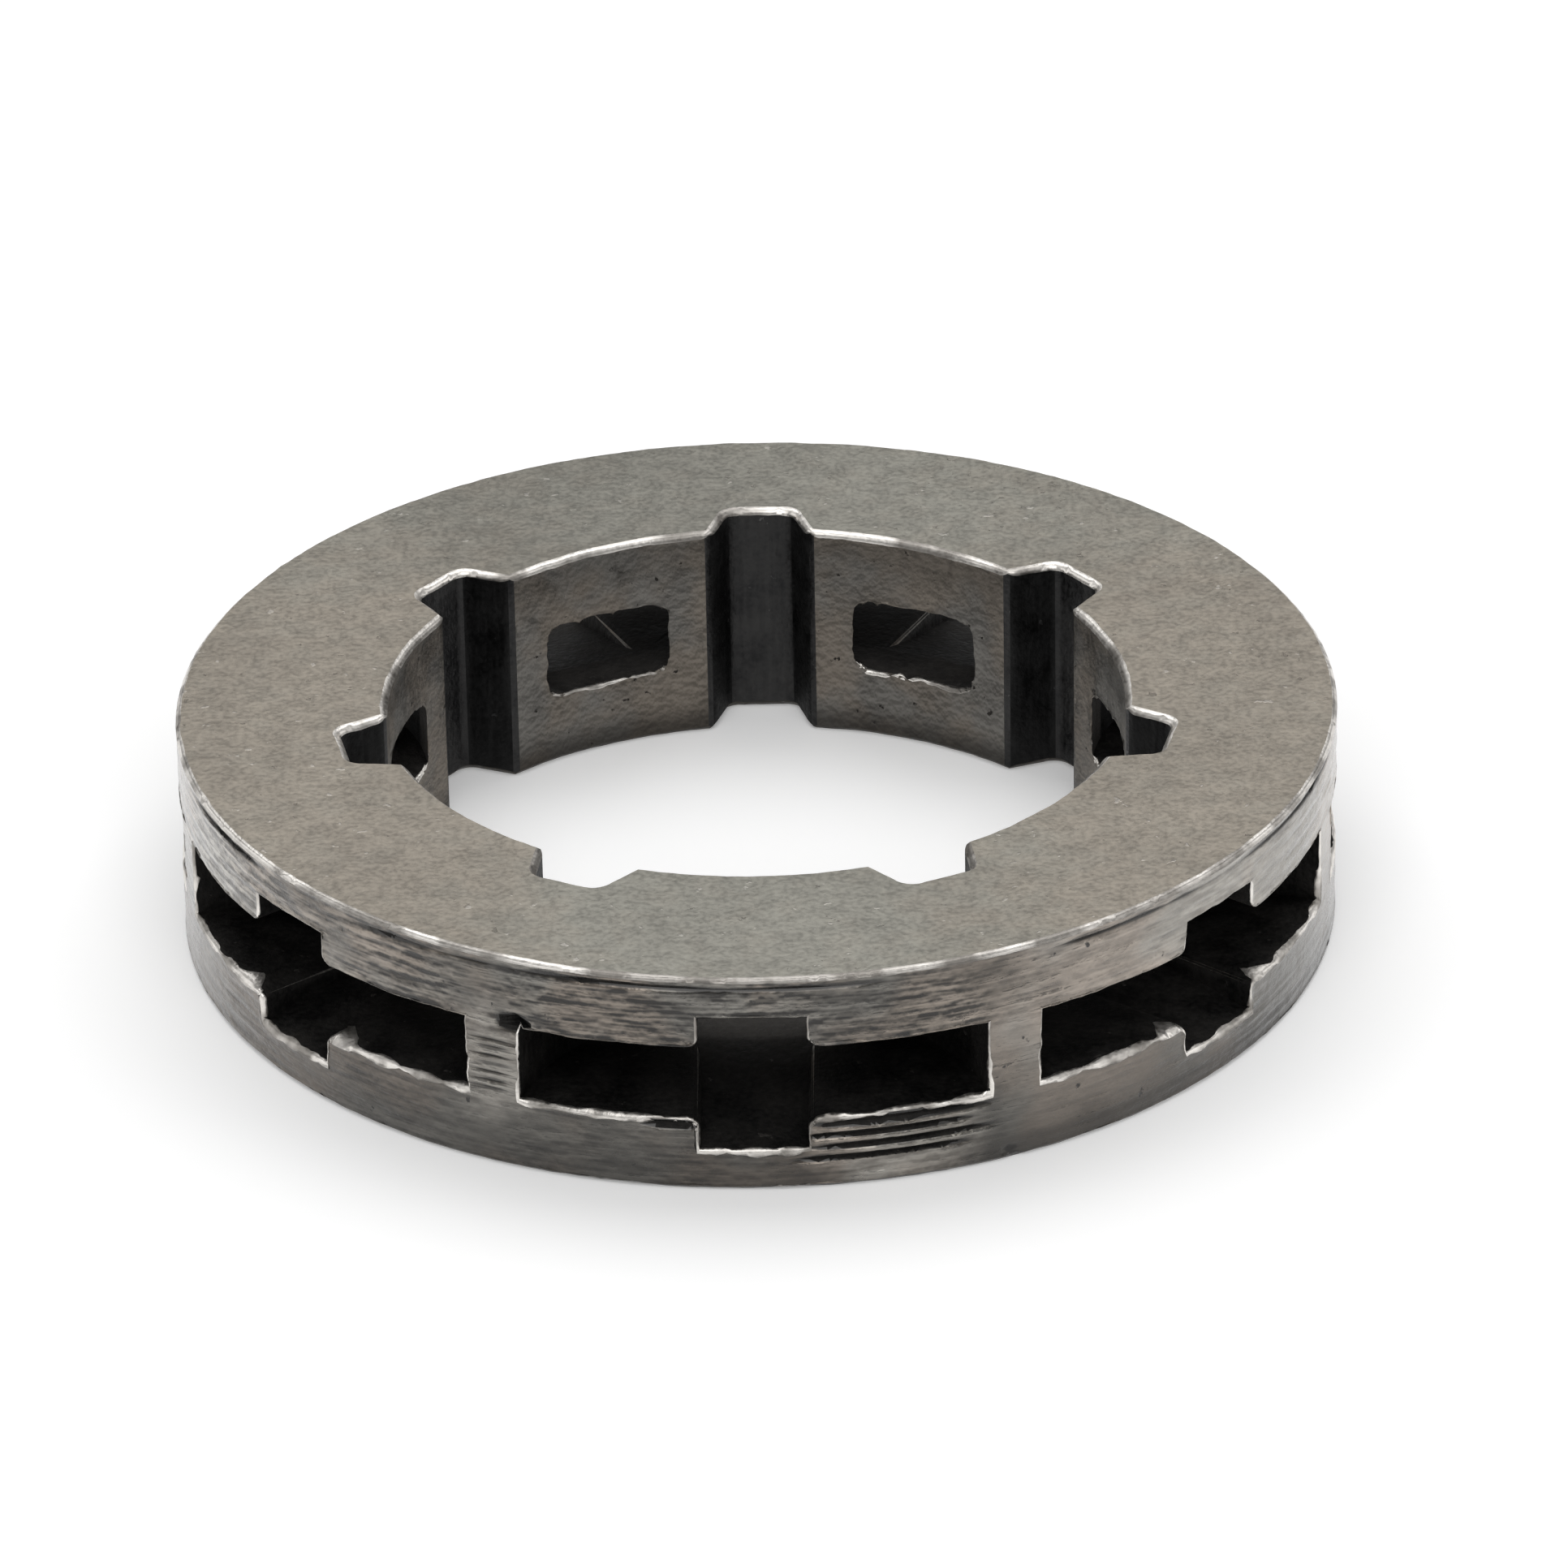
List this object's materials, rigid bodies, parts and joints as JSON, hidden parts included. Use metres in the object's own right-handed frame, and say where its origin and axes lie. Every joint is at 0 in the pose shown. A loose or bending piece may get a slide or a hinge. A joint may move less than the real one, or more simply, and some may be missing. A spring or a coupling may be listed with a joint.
{
  "type": "rim drive sprocket",
  "caption": "One-piece steel rim sprocket: a ring with drive-link pockets round its outside and a splined bore that slides on a clutch drum's hub to drive a saw chain.",
  "frame": {"origin": "on the bore axis, at the bottom face", "axes": "+Z along the bore axis, from the bottom face to the top face; -Y out through the middle of one pocket"},
  "size_m": [0.0346, 0.0346, 0.0069],
  "materials": {
    "steel": "matte, mottled, with turning lines on the outside"
  },
  "bodies": {
    "root": {"rim_sprocket": "steel"}
  },
  "joints": []
}
